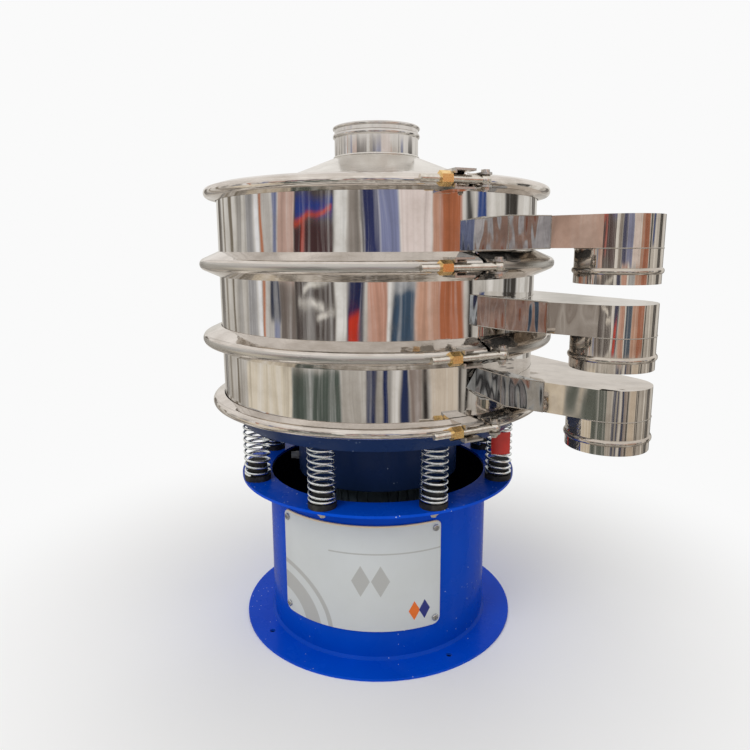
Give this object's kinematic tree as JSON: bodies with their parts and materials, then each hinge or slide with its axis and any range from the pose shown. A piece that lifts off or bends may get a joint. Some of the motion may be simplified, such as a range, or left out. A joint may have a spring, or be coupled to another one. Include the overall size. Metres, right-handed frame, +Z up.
{
  "type": "vibrating screen",
  "caption": "Round vibrating screen: stacked stainless decks in clamp bands with side outlets, on springs over a blue drum base.",
  "frame": {"origin": "centre of the base flange's underside, on the floor", "axes": "+Z up along the machine's axis through the feed inlet; -Y is the front with the curved plate; the outlets point to the front right, between -Y and +X"},
  "size_m": [0.7831, 0.6891, 0.9641],
  "materials": {
    "polished_stainless": "mirror polished stainless steel",
    "screen_mesh": "woven stainless wire",
    "bright_steel": "cast stainless, satin",
    "brass": "satin brass",
    "blue_paint": "glossy enamel",
    "dark_blue_paint": "glossy enamel",
    "off_white_plate": "satin lacquer on sheet metal",
    "zinc_spring_steel": "zinc plated",
    "zinc_fasteners": "zinc plated",
    "black_rubber": "moulded",
    "red_card": "laminated card",
    "grey_nylon": "moulded",
    "motor_paint": "satin paint on cast iron"
  },
  "bodies": {
    "base": {"base_flange": "blue_paint", "base_shell": "blue_paint", "base_top_ring": "blue_paint", "front_plate": "off_white_plate", "plate_screws": "zinc_fasteners", "red_tag": "red_card", "spring_1": "zinc_spring_steel", "spring_2": "zinc_spring_steel", "spring_3": "zinc_spring_steel", "spring_4": "zinc_spring_steel", "spring_5": "zinc_spring_steel", "spring_6": "zinc_spring_steel", "spring_7": "zinc_spring_steel", "spring_8": "zinc_spring_steel", "spring_bolts": "zinc_fasteners", "spring_pads": "black_rubber"},
    "screen_body": {"bowl": "dark_blue_paint", "cable_gland": "grey_nylon", "clamp_band_1": "polished_stainless", "clamp_band_2": "polished_stainless", "clamp_band_3": "polished_stainless", "clamp_band_4": "polished_stainless", "cover": "polished_stainless", "discharge_dome": "polished_stainless", "gaskets": "black_rubber", "inlet_collar": "polished_stainless", "latch_pins": "bright_steel", "lower_frame": "polished_stainless", "lower_hood": "polished_stainless", "lower_outlet": "polished_stainless", "lower_screen": "screen_mesh", "lower_spout": "polished_stainless", "middle_frame": "polished_stainless", "middle_hood": "polished_stainless", "middle_outlet": "polished_stainless", "middle_spout": "polished_stainless", "motor_drum": "dark_blue_paint", "upper_frame": "polished_stainless", "upper_hood": "polished_stainless", "upper_outlet": "polished_stainless", "upper_screen": "screen_mesh", "upper_spout": "polished_stainless", "vibration_motor": "motor_paint"},
    "latch_1": {"swing_bolt_1": "bright_steel", "latch_nut_1": "brass"},
    "latch_2": {"swing_bolt_2": "bright_steel", "latch_nut_2": "brass"},
    "latch_3": {"swing_bolt_3": "bright_steel", "latch_nut_3": "brass"},
    "latch_4": {"swing_bolt_4": "bright_steel", "latch_nut_4": "brass"}
  },
  "joints": [
    {"name": "body_bounce", "type": "slide", "parent": "base", "child": "screen_body", "axis": [0, 0, 1], "range_m": [-0.005, 0.005], "stiffness_N_per_m": 160000, "springref_m": 0.0064, "deforming": ["spring_1", "spring_2", "spring_3", "spring_4", "spring_5", "spring_6", "spring_7", "spring_8"]},
    {"name": "latch_1_swing", "type": "hinge", "parent": "screen_body", "child": "latch_1", "pos_m": [0.18705, -0.27731, 0.46], "axis": [0, 0, 1], "range_deg": [0, 80]},
    {"name": "latch_2_swing", "type": "hinge", "parent": "screen_body", "child": "latch_2", "pos_m": [0.19404, -0.28768, 0.58], "axis": [0, 0, 1], "range_deg": [0, 80]},
    {"name": "latch_3_swing", "type": "hinge", "parent": "screen_body", "child": "latch_3", "pos_m": [0.18285, -0.29491, 0.715], "axis": [0, 0, 1], "range_deg": [0, 80]},
    {"name": "latch_4_swing", "type": "hinge", "parent": "screen_body", "child": "latch_4", "pos_m": [0.15961, -0.29396, 0.8405], "axis": [0, 0, 1], "range_deg": [0, 80]}
  ]
}
